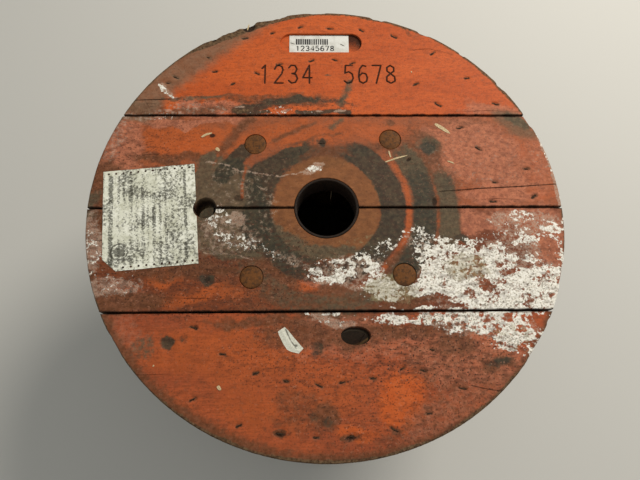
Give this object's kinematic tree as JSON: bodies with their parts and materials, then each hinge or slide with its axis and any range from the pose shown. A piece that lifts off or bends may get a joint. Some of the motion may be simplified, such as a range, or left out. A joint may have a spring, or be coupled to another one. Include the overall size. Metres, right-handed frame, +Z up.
{
  "type": "wooden cable drum",
  "caption": "Returnable wooden cable drum: two round flanges of crossed boards on a stave barrel, steel arbor bushes and tie bolts.",
  "frame": {"origin": "centre of the lower flange's outer face, on the floor", "axes": "+Z up along the drum's axis, +Y towards the board with the number plate, +X along the outer boards"},
  "size_m": [0.8, 0.8, 0.4964],
  "materials": {
    "stained_board": "sawn softwood with a thin worn orange-red stain, dirty",
    "raw_stave": "planed softwood staves, unpainted, dusty",
    "rusted_bush": "cut steel tube, rusted brown",
    "rusted_bolt": "forged steel, rusted brown",
    "plate": "white sheet with printed bars, dirty",
    "label_paper": "glued paper, grey with dirt"
  },
  "bodies": {
    "root": {"upper_outer_board_1": "stained_board", "upper_outer_board_2": "stained_board", "upper_outer_board_3": "stained_board", "upper_outer_board_4": "stained_board", "upper_inner_board_1": "stained_board", "upper_inner_board_2": "stained_board", "upper_inner_board_3": "stained_board", "upper_inner_board_4": "stained_board", "upper_inner_board_5": "stained_board", "lower_inner_board_1": "stained_board", "lower_inner_board_2": "stained_board", "lower_inner_board_3": "stained_board", "lower_inner_board_4": "stained_board", "lower_inner_board_5": "stained_board", "lower_outer_board_1": "stained_board", "lower_outer_board_2": "stained_board", "lower_outer_board_3": "stained_board", "lower_outer_board_4": "stained_board", "stave_01": "raw_stave", "stave_02": "raw_stave", "stave_03": "raw_stave", "stave_04": "raw_stave", "stave_05": "raw_stave", "stave_06": "raw_stave", "stave_07": "raw_stave", "stave_08": "raw_stave", "stave_09": "raw_stave", "stave_10": "raw_stave", "stave_11": "raw_stave", "stave_12": "raw_stave", "stave_13": "raw_stave", "stave_14": "raw_stave", "stave_15": "raw_stave", "stave_16": "raw_stave", "stave_17": "raw_stave", "stave_18": "raw_stave", "stave_19": "raw_stave", "stave_20": "raw_stave", "stave_21": "raw_stave", "stave_22": "raw_stave", "stave_23": "raw_stave", "stave_24": "raw_stave", "upper_bush": "rusted_bush", "lower_bush": "rusted_bush", "tie_bolt_1": "rusted_bolt", "washer_1": "rusted_bolt", "nut_1": "rusted_bolt", "tie_bolt_2": "rusted_bolt", "washer_2": "rusted_bolt", "nut_2": "rusted_bolt", "tie_bolt_3": "rusted_bolt", "washer_3": "rusted_bolt", "nut_3": "rusted_bolt", "tie_bolt_4": "rusted_bolt", "washer_4": "rusted_bolt", "nut_4": "rusted_bolt", "number_plate": "plate", "paper_label": "label_paper"}
  },
  "joints": []
}
